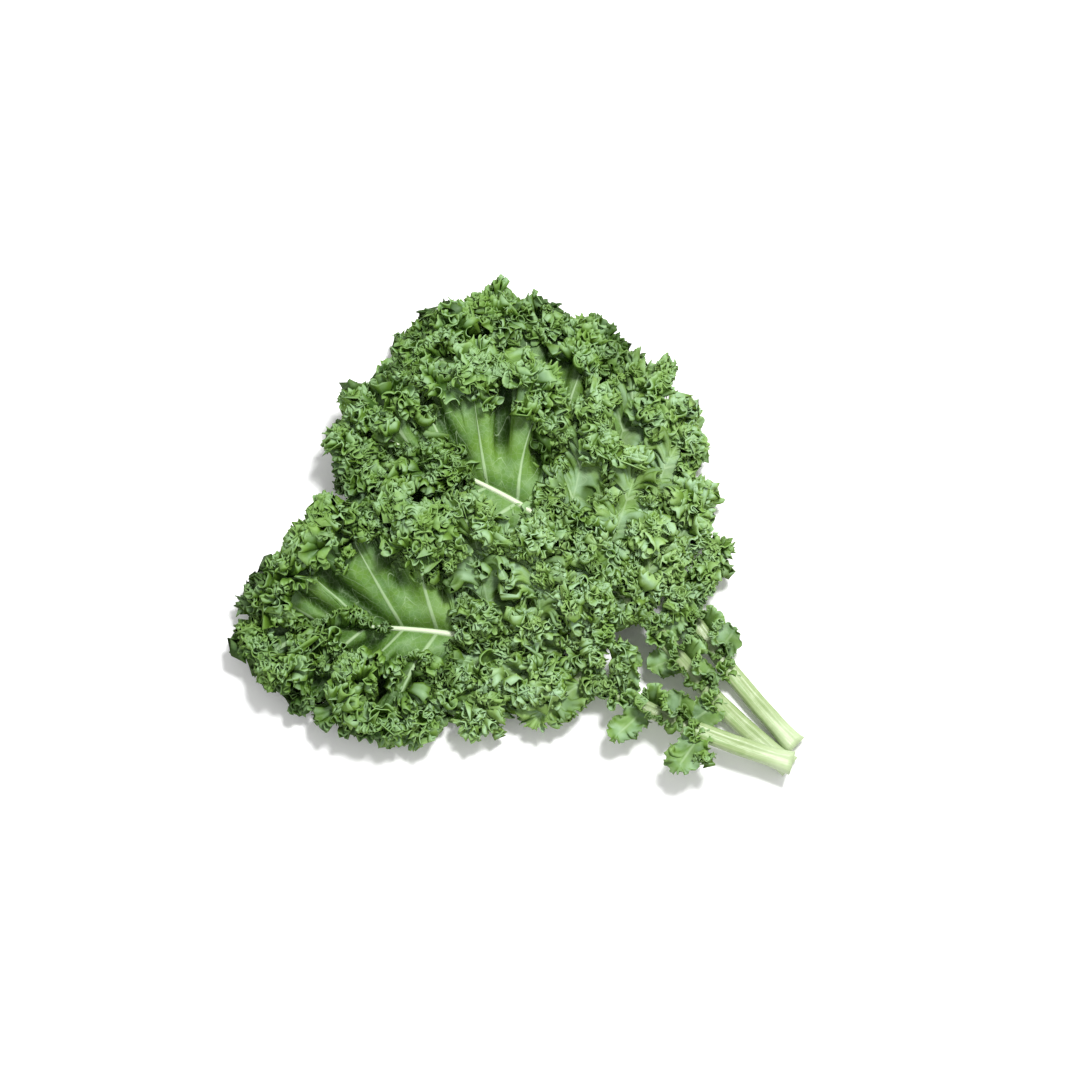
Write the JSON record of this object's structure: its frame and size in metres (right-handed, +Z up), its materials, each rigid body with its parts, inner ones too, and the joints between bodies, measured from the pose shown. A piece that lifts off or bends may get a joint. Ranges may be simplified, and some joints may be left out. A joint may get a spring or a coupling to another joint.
{
  "type": "kale bunch",
  "caption": "Small bunch of curly kale lying flat: leaves with frilled blades fanned out from cut stems held together at one end.",
  "frame": {"origin": "middle of the bunch's footprint, on the surface it lies on", "axes": "+Z up from the surface it lies on; +X is the way the front leaf's cut end points, so the tips fan out towards -X and +Y"},
  "size_m": [0.3378, 0.3, 0.0567],
  "materials": {
    "leaf": null
  },
  "bodies": {
    "root": {"front_leaf": "leaf", "middle_leaf": "leaf", "back_leaf": "leaf"}
  },
  "joints": []
}
